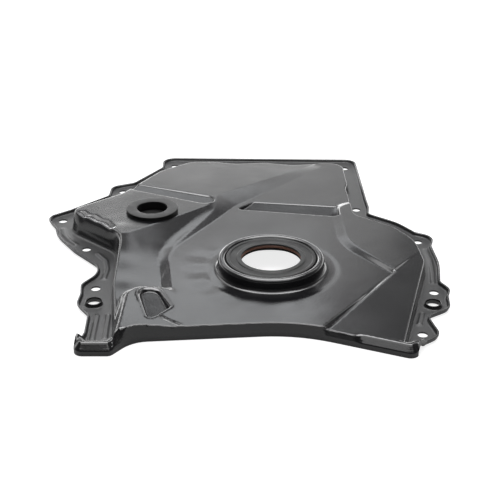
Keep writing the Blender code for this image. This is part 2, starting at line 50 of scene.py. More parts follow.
# Each outline is a belt: circles with straight tangents between them, anticlockwise. A circle is
# (x, y, radius, side), with side 1 where the belt turns left round it and -1 in a hollow. Where a
# drawn wall runs out from the belt, the circle's last number is the wall's run there.
RIM = [
    (86.5, -100.5, 6.0, 1), (101.5, -94.5, 4.0, -1), (98.0, -79.0, 10.5, 1),
    (112.0, -62.0, 6.5, -1), (111.0, -41.0, 11.5, 1), (126.8, -31.0, 3.5, -1),
    (115.0, -21.0, 11.0, 1), (127.5, -8.0, 6.0, -1), (35.5, 25.0, 90.0, 1),
    (129.5, 50.0, 5.0, -1), (116.0, 62.0, 11.5, 1), (119.5, 79.5, 5.5, -1),
    (68.0, 62.0, 47.5, 1), (87.0, 113.0, 4.0, -1), (74.0, 125.0, 10.5, 1),
    (89.0, 139.5, 5.0, -1), (73.0, 227.0, 10.0, 1), (-85.0, 230.0, 11.0, 1),
    (-101.5, 218.5, 6.0, -1), (-121.5, 184.5, 6.0, -1), (-126.0, 164.0, 10.5, 1),
    (-142.5, 152.5, 6.0, -1), (-168.5, 124.0, 6.0, -1), (-168.0, 102.0, 11.0, 1),
    (-176.5, 82.0, 6.0, -1), (-128.0, 86.0, 42.0, 1), (-141.0, 49.0, 11.0, 1),
    (-147.5, 8.0, 20.5, -1), (-125.0, -15.0, 10.5, 1), (-137.5, -27.0, 3.5, -1),
    (-123.0, -38.5, 11.5, 1), (-131.5, -59.0, 7.0, -1), (-133.5, -80.0, 10.0, -1),
    (-121.5, -98.0, 6.0, 1), (-106.0, -99.5, 4.5, 1), (-80.0, -107.0, 21.0, -1),
    (0.0, -180.0, 100.5, -1),
]
# A drawn wall is given by its rise for a unit of run, and by the bends at its crest and its foot
# as shares of the run. The rolled edge stands up from the flange all round, and fades in over a
# length from a distance off the front line.
EDGE_RISE = 2.5
EDGE_WALL = (1.8, 0.35, 0.25)
EDGE_WIDTH = 2.1
EDGE_RUN = 1.4
EDGE_FADES = (2.0, 6.0)

# Pierced holes: bolts, two necks for the dowels, the collar for the seal, and the sealing plug.
# The necks and the collar are drawn up through rings of (radius, height).
HOLES = [
    (-85.0, 226.0), (-126.0, 164.0), (-168.0, 102.0), (-141.0, 49.0), (-125.0, -15.0),
    (72.0, 220.0), (74.0, 125.0), (116.0, 62.0), (115.0, -21.0), (98.0, -79.0),
]
BOLT_HOLE = 3.5
DOWELS = [(-123.0, -38.5), (111.0, -41.0)]
DOWEL_FOOT = 6.7
DOWEL_NECK = [(6.2, 1.35), (5.95, 1.7), (5.8, 2.2), (5.8, 3.7), (5.6, 4.1), (5.2, 4.25)]
PLUG_PLACE = (-93.0, 87.0)
PLUG_HOLE = 17.0
COLLAR_FOOT = 41.8
COLLAR_WALL = [(40.4, 10.15), (39.2, 10.8), (38.6, 11.8), (38.4, 13.0)]
COLLAR_INNER = 32.8
CROWN_RADIUS = 2.8
CROWN_LEVEL = 17.1
COLLAR_LINING = (13.0, 9.5)

# The chamber is the deep main draw, and the fields below are hit into it one after the other.
CHAMBER_LEVEL = 7.0
CHAMBER_WALL = (2.2, 0.45, 0.3)
CHAMBER = [
    (67.5, -128.5, 6.0, 1, 3.0), (97.5, 9.0, 13.2, 1, 3.5), (66.0, 29.0, 43.5, 1, 3.5),
    (72.0, 48.0, 29.5, 1, 3.5), (84.0, 99.0, 17.0, -1, 3.0), (58.5, 139.0, 8.0, 1, 3.0),
    (71.5, 151.0, 5.5, -1, 3.0), (60.0, 163.0, 8.0, 1, 3.5), (57.0, 199.0, 10.5, 1, 4.0),
    (44.0, 201.0, 9.0, 1, 4.0), (23.0, 221.5, 16.0, -1, 4.0), (-2.0, 201.0, 9.0, 1, 4.0),
    (-27.0, 221.5, 16.0, -1, 4.0), (-48.0, 200.0, 9.0, 1, 4.0), (-62.0, 193.0, 15.0, 1, 4.0),
    (-84.0, 176.0, 11.0, 1, 4.5), (-131.5, 134.5, 14.0, -1, 5.0), (-145.5, 88.0, 7.0, 1, 7.0),
    (-141.0, 83.3, 7.0, 1, 9.0), (-138.3, 30.7, 28.0, -1, 7.0), (-104.5, -22.0, 5.0, 1, 4.0),
    (-112.0, -42.0, 5.0, -1, 4.0), (-96.5, -72.0, 6.5, 1, 4.0), (-92.0, -128.0, 6.0, 1, 4.0),
]

# Field round the crankshaft, level, with a long shallow slope down to its left.
CRANK_LEVEL = 10.0
CRANK_WALL = (0.3, 0.4, 0.4)
CRANK_FIELD = [
    (150.0, -150.0, 6.0, 1, 5.0), (150.0, 280.0, 6.0, 1, 5.0), (-30.0, 280.0, 6.0, 1, 5.0),
    (-54.0, 102.0, 11.0, -1, 8.0), (2.0, 16.0, 76.0, 1, 9.0), (-76.0, -34.0, 7.0, -1, 6.0),
    (-70.0, -58.0, 9.0, 1, 5.0), (-70.0, -150.0, 9.0, 1, 5.0),
]
# Raised lobe on the right, rising a little to the right.
LOBE_LEVEL = 12.5
LOBE_RISE = 0.025
LOBE_FROM = 90.0
LOBE_WALL = (0.5, 0.2, 0.2)
LOBE = [
    (140.0, 120.0, 5.0, 1, 4.0), (73.0, 100.0, 15.0, 1, 6.5), (113.5, 58.0, 55.0, 1, 6.5),
    (92.0, -9.5, 1.5, 1, 3.0), (127.0, 37.0, 5.0, 1, 3.0),
]
# Flat panel at the front right, sunk, and deepest at the front.
PANEL_LEVEL = 7.6
PANEL_RISE = 0.045
PANEL_FROM = -98.0
PANEL_WALL = (0.9, 0.4, 0.4)
PANEL = [
    (34.0, -132.0, 2.0, 1, 2.5), (130.0, -132.0, 2.0, 1, 2.5), (130.0, 42.0, 2.0, 1, 2.5),
    (90.0, -10.0, 2.0, 1, 2.2), (37.0, -84.0, 2.0, 1, 2.2),
]
# Plateau on the left that carries the plug. It rises to the front left, and the big slope runs
# down from its crest to its foot.
PLATEAU_LEVEL = 10.0
PLATEAU_RISE = 0.039
PLATEAU_FROM = (29.0, 196.0)
PLATEAU_WAY = (math.cos(math.radians(227.5)), math.sin(math.radians(227.5)))
PLATEAU_WALL = (0.12, 0.05, 0.05)
PLATEAU_CREST = [
    (40.0, 215.0, 6.0, 1), (-200.0, 260.0, 6.0, 1), (-200.0, 40.0, 6.0, 1),
    (-112.0, 50.0, 8.0, 1), (-57.0, 107.0, 8.0, 1), (-34.0, 124.0, 8.0, -1),
]
PLATEAU_FOOT = [
    (44.0, 205.0, 6.0, 1), (-200.0, 270.0, 6.0, 1), (-200.0, -120.0, 6.0, 1),
    (-97.0, -52.0, 14.0, 1), (-56.0, 28.0, 16.0, -1), (-18.0, 104.0, 12.0, -1),
]
# Conical boss at the front left, falling to the right, with the scoop pressed into its side.
BOSS_LEVEL = 13.2
BOSS_FALL = 0.12
BOSS_FROM = -90.0
BOSS_WALL = (0.7, 0.45, 0.45)
BOSS = [
    (-76.0, -125.0, 4.0, 1, 7.0), (-79.0, -45.0, 12.0, 1, 7.0), (-86.0, -46.0, 12.0, 1, 7.0),
    (-96.0, -125.0, 4.0, 1, 7.0),
]
# The scoop is given by its y and depth at the back and the front, by the height and width of its
# raised edge, and by how far its floor and its edge lie out from its belt.
SCOOP_BACK = (-36.0, 2.0)
SCOOP_FRONT = (-66.0, 5.6)
SCOOP_WALL = (1.2, 0.15, 0.75)
SCOOP_EDGE = (0.3, 1.5)
SCOOP_OUT = (-2.0, 1.2)
SCOOP = [(-71.0, -57.5, 2.5, 1), (-83.0, -43.5, 8.0, 1), (-80.5, -73.0, 2.0, 1)]

# Marks along open lines, each with its depth and its reach to either side: the ledge in the left
# end wall, the cuff before the boss and the V groove, which deepens to the front. The cove beside
# the left wall is a low swelling, a little uneven along its length.
LEDGE = np.array(((-149.0, 83.0), (-145.0, 76.0), (-139.5, 75.5),
                  (-134.0, 68.0), (-127.5, 64.5), (-122.0, 54.0)))
LEDGE_MARK = (1.5, 4.2)
CUFF = np.array(((-79.5, -68.5), (-61.0, -81.0)))
CUFF_MARK = (0.6, 1.8)
GROOVE = np.array(((88.0, -8.0), (34.0, -84.0)))
GROOVE_DEPTHS = (0.3, 0.8)
GROOVE_REACH = 1.6
COVE = np.array(((-112.0, 48.0), (-108.0, 20.0), (-104.0, 0.0), (-102.0, -20.0)))
COVE_RISE = 0.55
COVE_UNEVEN = 0.12
COVE_WAVE = 0.22
COVE_START = 0.5
COVE_REACH = 19.0

# Round the collar: a faint ring groove of (depth, radius, half width), and low flutes that fade
# out to the back and right, and at their inner and outer ends, given as (radius, fade).
RING_GROOVE = (0.25, 46.0, 4.0)
FLUTES = 13.0
FLUTE_RISE = 0.2
FLUTE_WAY = (-0.8, -0.6)
FLUTE_INNER = (43.0, 7.0)
FLUTE_OUTER = (68.0, 12.0)

# Pockets in the plateau's and the crank field's far sides. Each is a belt, the point where it is
# shallowest, the direction in which it deepens, and how steeply.
POCKET_DEPTH = 0.5
POCKET_SPAN = (-3.0, 24.0)
POCKET_OUT = (-1.5, 1.3)
POCKET_WALL = (0.9, 0.32, 0.58)
POCKETS = [
    ([(-53.0, 117.5, 8.5, 1), (-111.0, 143.5, 4.5, 1), (-112.0, 138.0, 3.0, 1)],
     (-113.0, 149.0), (-0.325, -0.945), 0.19),
    ([(55.0, 94.0, 1.8, 1), (55.5, 110.5, 1.8, 1), (-11.0, 119.5, 2.2, 1), (-22.0, 108.0, 1.8, 1)],
     (-12.0, 121.5), (-0.139, -0.990), 0.21),
]
# Coined lines on the flange.
BEAD_RISE = 0.9
BEAD_WIDTH = 2.3
BEAD_RUN = 1.5
BEAD_WALL = (0.6, 0.3, 0.3)
BEADS = [np.array(line) for line in (
    ((-165.5, 86.0), (-162.5, 75.0), (-157.0, 65.0), (-150.0, 56.5)),
    ((-131.0, 41.0), (-123.5, 29.0), (-120.5, 14.0), (-121.0, 0.0)),
    ((-118.5, -54.0), (-117.5, -86.0)),
    ((-111.0, -54.0), (-109.5, -84.0)),
    ((119.8, 48.0), (120.5, 30.0), (119.0, 12.0), (116.5, -7.0)),
    ((102.0, -52.0), (98.0, -66.0)),
)]
# Sump band: the front edge is folded down to the block face between the two front ends. The band
# stands back from its lower edge, and further at its two feet, given as (x, half width).
BAND_LEVEL = 8.0
BAND_FOOT = 3.5
BAND_DROP = 0.5
BAND_SHELF = 3.0
BAND_BEND = 0.6
BAND_BACK = 1.2
FEET = ((-118.0, 24.0), (76.0, 24.0))
FOOT_BACK = 2.0
FOOT_EASE = 5.0
FRONT_ENDS = ((-127.5, -98.0), (92.5, -100.0))


def belt(circles, outward=0.0, run_share=0.0):
    """Closed line of arcs and tangents round circles, let out evenly or by a share of the runs."""
    smallest, sag, widest_step = 0.4, 0.06, math.radians(15)
    items = []
    for x, y, radius, side, *run in circles:
        grow = outward + run_share * run[0] if run else outward
        items.append((x, y, side * max(radius + side * grow, smallest)))
    touch = []
    for (x0, y0, r0), (x1, y1, r1) in zip(items, items[1:] + items[:1]):
        lean = math.asin(max(-1.0, min(1.0, (r0 - r1) / math.hypot(x1 - x0, y1 - y0))))
        touch.append(math.atan2(y1 - y0, x1 - x0) - math.pi / 2 + lean)
    line = []
    for k, (x, y, r) in enumerate(items):
        turn = (touch[k] - touch[k - 1]) % (2 * math.pi)
        if r < 0:
            turn -= 2 * math.pi
        if abs(turn) > 1.9 * math.pi:
            turn = 0.0
        step = min(widest_step, 2 * math.acos(max(0.0, 1.0 - sag / abs(r))))
        count = max(1, math.ceil(abs(turn) / step))
        angles = [touch[k - 1] + turn * n / count for n in range(count + 1)]
        line += [(x + r * math.cos(a), y + r * math.sin(a)) for a in angles]
    return np.array(line)


def line_distance(places, line, closed=True):
    ends = np.roll(line, -1, axis=0) if closed else line[1:]
    starts = line if closed else line[:-1]
    best = np.full(len(places), 1e9)
    for a, b in zip(starts, ends):
        side = b - a
        share = ((places - a) @ side) / max(side @ side, 1e-9)
        gap = places - (a + np.clip(share, 0.0, 1.0)[:, None] * side)
        best = np.minimum(best, gap[:, 0] ** 2 + gap[:, 1] ** 2)
    return np.sqrt(best)


def is_inside(places, line):
    inside = np.zeros(len(places), bool)
    x, y = places.T
    for (x0, y0), (x1, y1) in zip(line, np.roll(line, -1, axis=0)):
        rise = y1 - y0 if y1 != y0 else 1e-9
        inside ^= ((y0 > y) != (y1 > y)) & (x < (x1 - x0) * (y - y0) / rise + x0)
    return inside


def ease(share):
    """Rises from 0 to 1 with no kink at either end."""
    t = np.clip(share, 0.0, 1.0)
    return t * t * (3.0 - 2.0 * t)


def drawn(share, aspect, crest, foot):
    """Section of a drawn wall of unit run: an arc at the foot, a straight and an arc at the crest."""
    low, high = 0.02, 1.56
    for _ in range(40):
        angle = (low + high) / 2
        rest = aspect - (crest + foot) * (1.0 - math.cos(angle))
        if (crest + foot) * math.sin(angle) + rest / math.tan(angle) > 1.0:
            low = angle
        else:
            high = angle
    t = np.clip(share, 0.0, 1.0)
    rise = foot * (1.0 - math.cos(angle)) + math.tan(angle) * (t - foot * math.sin(angle))
    rise = np.where(t < foot * math.sin(angle), foot - np.sqrt(np.maximum(foot * foot - t * t, 0.0)), rise)
    top = aspect - crest + np.sqrt(np.maximum(crest * crest - (1.0 - t) ** 2, 0.0))
    return np.where(t > 1.0 - crest * math.sin(angle), top, rise) / aspect


def field(places, lines, wall):
    """1 inside the first line, 0 outside the second, with a drawn wall between the two."""
    crest, foot = lines
    share = np.where(is_inside(places, crest), 1.0, 0.0)
    between = (share < 0.5) & is_inside(places, foot)
    near = places[between]
    to_foot = line_distance(near, foot)
    share[between] = drawn(to_foot / np.maximum(to_foot + line_distance(near, crest), 1e-9), *wall)
    return share


def crest_and_foot(circles):
    return belt(circles), belt(circles, run_share=1.0)


rim_line = belt(RIM)
chamber = crest_and_foot(CHAMBER)
plateau = (belt(PLATEAU_CREST), belt(PLATEAU_FOOT))
crank_field = crest_and_foot(CRANK_FIELD)
lobe = crest_and_foot(LOBE)
panel = crest_and_foot(PANEL)
boss = crest_and_foot(BOSS)
scoop = [belt(SCOOP, outward=out) for out in SCOOP_OUT]
pockets = [[belt(pocket[0], outward=out) for out in POCKET_OUT] for pocket in POCKETS]
ends = [min(range(len(rim_line)), key=lambda i: math.dist(rim_line[i], end)) for end in FRONT_ENDS]
front_count = (ends[1] - ends[0]) % len(rim_line) + 1
front_line = rim_line[[(ends[0] + k) % len(rim_line) for k in range(front_count)]]


def plateau_level(places):
    return PLATEAU_LEVEL + PLATEAU_RISE * ((places - PLATEAU_FROM) @ PLATEAU_WAY)


def band_back(x):
    """How far the top of the sump band stands back from the front line."""
    back = np.full(len(x), BAND_BACK)
    for foot_x, half in FEET:
        back = back + FOOT_BACK * ease((half - np.abs(x - foot_x)) / FOOT_EASE)
    return back


def mark(places, line, reach):
    """1 on an open line, easing to 0 at its reach."""
    return ease(1.0 - line_distance(places, line, closed=False) / reach)


def flutes(x, y, radius):
    """Low waves round the collar, strongest at its front left."""
    facing = (FLUTE_WAY[0] * x + FLUTE_WAY[1] * y) / np.maximum(radius, 1.0)
    inner = ease((radius - FLUTE_INNER[0]) / FLUTE_INNER[1])
    outer = ease((FLUTE_OUTER[0] - radius) / FLUTE_OUTER[1])
    return FLUTE_RISE * np.sin(FLUTES * np.arctan2(y, x)) * ease(facing * 2.0 - 0.2) * inner * outer


def chamber_top(places):
    """Upper face of the chamber, field by field in the order of the hits."""
    x, y = places.T
    top = np.full(len(places), CHAMBER_LEVEL)
    for level, lines, wall in (
            (CRANK_LEVEL, crank_field, CRANK_WALL),
            (LOBE_LEVEL + LOBE_RISE * (x - LOBE_FROM), lobe, LOBE_WALL),
            (PANEL_LEVEL + PANEL_RISE * (y - PANEL_FROM), panel, PANEL_WALL),
            (plateau_level(places), plateau, PLATEAU_WALL),
            (BOSS_LEVEL - BOSS_FALL * np.maximum(x - BOSS_FROM, 0.0), boss, BOSS_WALL)):
        top = top + (level - top) * field(places, lines, wall)
    scoop_depth = np.interp(-y, (-SCOOP_BACK[0], -SCOOP_FRONT[0]), (SCOOP_BACK[1], SCOOP_FRONT[1]))
    top = top - scoop_depth * field(places, scoop, SCOOP_WALL)
    top = top + SCOOP_EDGE[0] * ease(1.0 - line_distance(places, scoop[1]) / SCOOP_EDGE[1])
    top = top - LEDGE_MARK[0] * mark(places, LEDGE, LEDGE_MARK[1])
    uneven = COVE_UNEVEN * np.sin(COVE_WAVE * y + COVE_START)
    top = top + (COVE_RISE + uneven) * mark(places, COVE, COVE_REACH)
    top = top - CUFF_MARK[0] * mark(places, CUFF, CUFF_MARK[1])
    radius = np.hypot(x, y)
    depth, middle, half = RING_GROOVE
    top = top - depth * ease(1.0 - np.abs(radius - middle) / half)
    top = top + flutes(x, y, radius)
    for (_, shallow, way, fall), lines in zip(POCKETS, pockets):
        depth = POCKET_DEPTH + fall * np.clip((places - shallow) @ way, *POCKET_SPAN)
        top = top - depth * field(places, lines, POCKET_WALL)
    way = GROOVE[1] - GROOVE[0]
    along = np.clip(((places - GROOVE[0]) @ way) / (way @ way), 0.0, 1.0)
    depth = GROOVE_DEPTHS[0] + (GROOVE_DEPTHS[1] - GROOVE_DEPTHS[0]) * along
    return top - depth * mark(places, GROOVE, GROOVE_REACH)


def height(places):
    """Upper face of the sheet above the block face, at each plan point."""
    flange = np.full(len(places), SHEET)
    for bead in BEADS:
        reach = line_distance(places, bead, closed=False)
        flange = flange + BEAD_RISE * drawn((BEAD_WIDTH - reach) / BEAD_RUN, *BEAD_WALL)
    top = flange + (chamber_top(places) - flange) * field(places, chamber, CHAMBER_WALL)
    to_front = line_distance(places, front_line, closed=False)
    back = band_back(places[:, 0])
    top = np.maximum(top, BAND_LEVEL - np.maximum(to_front - back - BAND_SHELF, 0.0))
    band = BAND_FOOT + (top - BAND_DROP - BAND_FOOT) * np.clip(to_front / back, 0.0, 1.0)
    top = band + (top - band) * ease((to_front - back) / BAND_BEND)
    edge = EDGE_RISE * drawn((EDGE_WIDTH - line_distance(places, rim_line)) / EDGE_RUN, *EDGE_WALL)
    return top + edge * ease((to_front - EDGE_FADES[0]) / EDGE_FADES[1])


# Plan of the sheet's mesh: the belts and holes as kept lines, rows along every wall, and a finer
# net of points beside the walls than on the flats.
cells = {}
points = []
edges = set()


def put(point, snap):
    """The number of the plan point here, or of one already within the snap distance."""
    cell = (round(point[0]), round(point[1]))
    for dx in (-1, 0, 1):
        for dy in (-1, 0, 1):
            for i in cells.get((cell[0] + dx, cell[1] + dy), ()):
                if math.dist(points[i], point) < snap:
                    return i
    points.append(point)
    cells.setdefault(cell, []).append(len(points) - 1)
    return len(points) - 1


def put_line(line, snap, closed=True, keep=None):
    good = [True] * len(line) if keep is None else keep(np.array(line))
    ids = [put(p, snap) if ok else None for p, ok in zip(line, good)]
    for a, b in zip(ids, ids[1:] + ids[:1] if closed else ids[1:]):
        if a is not None and b is not None and a != b:
            edges.add((a, b))
    return ids


def spaced(line, closed=True, step=2.6):
    """The line's points, with more between those that are further apart than the step."""
    line = [tuple(p) for p in line]
    out = []
    for a, b in zip(line, line[1:] + line[:1] if closed else line[1:]):
        count = max(1, math.ceil(math.dist(a, b) / step))
        out += [(a[0] + (b[0] - a[0]) * k / count, a[1] + (b[1] - a[1]) * k / count) for k in range(count)]
    if not closed:
        out.append(line[-1])
    return out


def ring(centre, radius, count):
    turns = [2 * math.pi * k / count for k in range(count)]
    return [(centre[0] + radius * math.cos(a), centre[1] + radius * math.sin(a)) for a in turns]


# Two points nearer than SAME are one, and rows along the walls share points nearer than ON_ROW.
# A hole is (centre, radius, count of points).
SAME = 0.02
ON_ROW = 0.15
ROW_STEP = 1.6
FINE_REACH = 2.6
bolt_holes = [(place, BOLT_HOLE, 40) for place in HOLES]
dowel_holes = [(place, DOWEL_FOOT, 40) for place in DOWELS]
collar_hole = ((0.0, 0.0), COLLAR_FOOT, 216)
plug_hole = (PLUG_PLACE, PLUG_HOLE, 60)
cuts = bolt_holes + dowel_holes + [collar_hole, plug_hole]
rim_points = spaced(rim_line)
rim_ids = put_line(rim_points, SAME)
loops = {cut: put_line(ring(*cut), SAME) for cut in cuts}


def clear(places, margin=0.8):
    """True for the places that are inside the rim and off the holes by the margin."""
    good = is_inside(places, rim_line) & (line_distance(places, rim_line) > margin)
    for centre, radius, _ in cuts:
        good &= np.hypot(*(places - np.array(centre)).T) > radius + margin
    return good


def net(step, margin):
    """Points in offset rows over the whole sheet."""
    low, high = rim_line.min(axis=0), rim_line.max(axis=0)
    row_ratio = 0.866
    rows = int((high[1] - low[1]) / (step * row_ratio)) + 2
    columns = int((high[0] - low[0]) / step) + 2
    places = np.array([(low[0] + (i + 0.5 * (j % 2)) * step, low[1] + j * step * row_ratio)
                       for j in range(rows) for i in range(columns)])
    return places[clear(places, margin)]


for inset in (0.7, 0.95, 1.25, 1.55, 1.85, 2.1):
    put_line(spaced(belt(RIM, outward=-inset)), ON_ROW, keep=lambda p: clear(p, margin=0.45))
for share in (0.0, 0.08, 0.16, 0.26, 0.4, 0.55, 0.68, 0.78, 0.86, 0.93, 1.0):
    put_line(spaced(belt(CHAMBER, run_share=1.0 - share), step=ROW_STEP), ON_ROW, keep=clear)
inner_rows = list(plateau)
for circles in (CRANK_FIELD, LOBE, PANEL, BOSS):
    inner_rows += [belt(circles, run_share=1.0 - share) for share in (0.0, 0.2, 0.4, 0.6, 0.8, 1.0)]
for outward in (-1.5, -1.2, -0.8, -0.4, 0.0, 0.4, 0.85, 1.3):
    inner_rows += [belt(pocket[0], outward=outward) for pocket in POCKETS]
for outward in (-2.0, -1.6, -1.2, -0.8, -0.4, 0.0, 0.4, 0.8, 1.2, 1.9, 2.7):
    inner_rows.append(belt(SCOOP, outward=outward))
for line in inner_rows:
    put_line(spaced(line, step=ROW_STEP), ON_ROW, keep=lambda p: clear(p) & is_inside(p, chamber[0]))
for bead in BEADS:
    way = np.diff(bead, axis=0)
    way = np.vstack((way[:1], way))
    across = np.stack((-way[:, 1], way[:, 0]), axis=1) / np.hypot(*way.T)[:, None]
    for off in (-2.3, -1.8, -1.3, -0.8, 0.8, 1.3, 1.8, 2.3):
        row = spaced(bead + across * off, closed=False, step=ROW_STEP)
        put_line(row, snap=0.3, closed=False, keep=clear)
for line in [GROOVE] + BEADS:
    put_line(spaced(line, closed=False), snap=0.45, closed=False, keep=clear)
front_points = np.array(spaced(front_line, closed=False, step=1.4))
for share, extra in ((0.15, 0), (0.4, 0), (0.7, 0), (0.85, 0), (1.0, 0), (1.0, 0.3), (1.0, 0.6)):
    row = []
    for a, b in zip(front_points, front_points[1:]):
        length = math.dist(a, b)
        if length < 0.3:
            continue
        middle = (a + b) / 2
        far = float(band_back(middle[:1])[0]) * share + extra
        row.append((middle[0] - (b[1] - a[1]) / length * far, middle[1] + (b[0] - a[0]) / length * far))
    put_line(row, snap=0.2, closed=False, keep=lambda p: clear(p, margin=0.15))
fine = net(step=1.15, margin=0.7)
to_wall = np.full(len(fine), 99.0)
for lines in [plateau, scoop, *pockets, crank_field, lobe, panel, boss, chamber]:
    for line in lines:
        to_wall = np.minimum(to_wall, line_distance(fine, line[::2]))
for p in fine[(to_wall < FINE_REACH) & is_inside(fine, chamber[0])]:
    put(tuple(p), snap=0.7)
wide = net(step=1.9, margin=2.2)
for p in wide[is_inside(wide, chamber[0]) | ~is_inside(wide, chamber[1])]:
    put(tuple(p), snap=0.9)

# The plan is triangulated, lifted to its height and trimmed to the rim and the holes.
verts, _, faces, origins, _, _ = delaunay_2d_cdt([Vector(p) for p in points], list(edges), [], 0, 1e-5)
flat = np.array([tuple(v) for v in verts])
middles = np.array([flat[list(f)].mean(axis=0) for f in faces])
keep = is_inside(middles, np.array(rim_points)) & (line_distance(middles, rim_line) > SAME)
for cut in cuts:
    keep &= ~is_inside(middles, np.array(ring(*cut)))
new_of = {old: new for new, olds in enumerate(origins) for old in olds}
mesh = bmesh.new()
lifted = [mesh.verts.new((p[0], p[1], z)) for p, z in zip(flat, height(flat))]
for face, ok in zip(faces, keep):
    if ok:
        mesh.faces.new([lifted[i] for i in face])


def draw_up(cut, rings):
    """Carries a hole's edge on through rings of (radius, height)."""
    before = [lifted[new_of[i]] for i in loops[cut]]
    for radius, z in rings:
        after = [mesh.verts.new((x, y, z)) for x, y in ring(cut[0], radius, len(before))]
        for k in range(len(before)):
            n = (k + 1) % len(before)
            mesh.faces.new((before[k], before[n], after[n], after[k]))
        before = after


for cut in dowel_holes:
    draw_up(cut, DOWEL_NECK)
turns = [math.pi * k / 12 for k in range(13)]
crown = [(COLLAR_INNER + CROWN_RADIUS + CROWN_RADIUS * math.cos(a), CROWN_LEVEL + CROWN_RADIUS * math.sin(a))
         for a in turns]
draw_up(collar_hole, COLLAR_WALL + crown + [(COLLAR_INNER, z) for z in COLLAR_LINING])

# The front edge is folded down from the rim to the block face, in four rows.
ON_FRONT = 0.03
skirt = [lifted[new_of[i]] for i in rim_ids]
gaps = line_distance(np.array([v.co[:2] for v in skirt]), front_line, closed=False)
columns = {k: [skirt[k]] for k, gap in enumerate(gaps) if gap < ON_FRONT}
for k, column in columns.items():
    x, y, z = skirt[k].co
    column += [mesh.verts.new((x, y, z * share)) for share in (0.75, 0.5, 0.25, 0.0)]
for k, column in columns.items():
    other = columns.get((k + 1) % len(skirt))
    if other:
        for j in range(len(column) - 1):
            mesh.faces.new((other[j], column[j], column[j + 1], other[j + 1]))
bmesh.ops.dissolve_degenerate(mesh, edges=mesh.edges, dist=SAME)
for v in [v for v in mesh.verts if not v.link_faces]:
    mesh.verts.remove(v)
for v in mesh.verts:
    v.co = ((v.co.x + AXIS[0]) * MM, (v.co.y + AXIS[1]) * MM, v.co.z * MM)
data = bpy.data.meshes.new("drawn_cover")
mesh.to_mesh(data)
mesh.free()
cover = bpy.data.objects.new("drawn_cover", data)
bpy.context.scene.collection.objects.link(cover)


def colour(text):
    """A colour written as sRGB hex, made linear."""
    parts = [int(text[k:k + 2], 16) / 255 for k in (0, 2, 4)]
    return (*[p / 12.92 if p <= 0.04045 else ((p + 0.055) / 1.055) ** 2.4 for p in parts], 1.0)


def add(tree, kind, values=(), links=(), **settings):
    """A node of one kind with its settings, its socket values and what feeds its sockets."""
    node = tree.nodes.new(kind)
    for name, value in settings.items():
        setattr(node, name, value)
    for name, value in dict(values).items():
        node.inputs[name].default_value = value
    for name, source in dict(links).items():
        tree.links.new(source, node.inputs[name])
    return node


def new_material(name):
    made = bpy.data.materials.new(name)
    made.use_nodes = True
    return made, made.node_tree, made.node_tree.nodes["Principled BSDF"]


# Black dip paint baked on the steel: a deep semi-gloss with a slight orange peel, a slow swell of
# the sheet under it, fine grey dust, and a duller flange, where hands and trays have rubbed it.
coat, tree, shader = new_material("black_electrocoated_steel")
place = add(tree, "ShaderNodeTexCoord").outputs["Object"]
peel = add(tree, "ShaderNodeTexNoise", {"Scale": 420.0, "Detail": 2.0, "Roughness": 0.5}, {"Vector": place})
swell = add(tree, "ShaderNodeTexNoise", {"Scale": 28.0, "Detail": 2.0, "Roughness": 0.45}, {"Vector": place})
dust = add(tree, "ShaderNodeTexNoise", {"Scale": 1900.0, "Detail": 1.0}, {"Vector": place})
grain = add(tree, "ShaderNodeMapRange", {"From Min": 0.62, "From Max": 0.8, "To Max": 0.35},
            {"Value": dust.outputs["Fac"]})
dusted = add(tree, "ShaderNodeMix", {6: colour("121214"), 7: colour("3a3b3e")},
             {0: grain.outputs["Result"]}, data_type="RGBA")
tree.links.new(dusted.outputs[2], shader.inputs["Base Color"])
rough = add(tree, "ShaderNodeMapRange", {"From Min": 0.3, "From Max": 0.7, "To Min": 0.15, "To Max": 0.22},
            {"Value": swell.outputs["Fac"]})
level = add(tree, "ShaderNodeSeparateXYZ", (), {0: place})
on_flange = add(tree, "ShaderNodeMapRange", {"From Min": 0.0035, "From Max": 0.0022, "To Max": 0.24},
                {"Value": level.outputs["Z"]})
duller = add(tree, "ShaderNodeMath", (), {0: rough.outputs["Result"], 1: on_flange.outputs["Result"]},
             operation="ADD")
tree.links.new(duller.outputs[0], shader.inputs["Roughness"])
bump = add(tree, "ShaderNodeBump", {"Strength": 0.12, "Distance": 0.0002}, {"Height": peel.outputs["Fac"]})
wave = add(tree, "ShaderNodeBump", {"Strength": 0.5, "Distance": 0.0006},
           {"Height": swell.outputs["Fac"], "Normal": bump.outputs["Normal"]})
tree.links.new(wave.outputs["Normal"], shader.inputs["Normal"])
shader.inputs["IOR"].default_value = 1.5

data.materials.append(coat)
data.shade_smooth()
gauge = cover.modifiers.new("sheet", "SOLIDIFY")
gauge.thickness = SHEET * MM
gauge.offset = -1.0
gauge.use_even_offset = False
gauge.use_rim = True
done = bpy.data.meshes.new_from_object(cover.evaluated_get(bpy.context.evaluated_depsgraph_get()))
cover.modifiers.clear()
cover.data = done
done.shade_smooth()
done.set_sharp_from_angle(angle=math.radians(50))
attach(cover, "root")
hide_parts("cover_plate")


# Crankshaft seal: nitrile rubber moulded over a steel ring and pressed into the collar. Its face
# has a raised outer band, a shallow dish and a dust lip that slopes down to the shaft.
# The section is (radius, height, fillet), from its outer top corner in by the underside, and is
# carried round on a circle through its middle.
SEAL_MIDDLE = 27.0
ROUND_STEPS = 192
SEAL_SECTION = [
    (32.5, 19.1, 0.8), (32.5, 9.0, 0.4), (31.3, 9.0, 0.4), (30.9, 13.6, 0.8), (23.0, 13.8, 0.3),
    (21.8, 14.0, 0.3), (21.8, 14.8, 0.3), (23.5, 15.1, 0.2), (23.5, 17.9, 0.2), (21.5, 18.0, 0.2),
    (21.4, 19.1, 0.4), (24.6, 19.1, 0.4), (25.2, 18.5, 0.3), (29.6, 18.5, 0.3), (30.2, 19.1, 0.3),
]


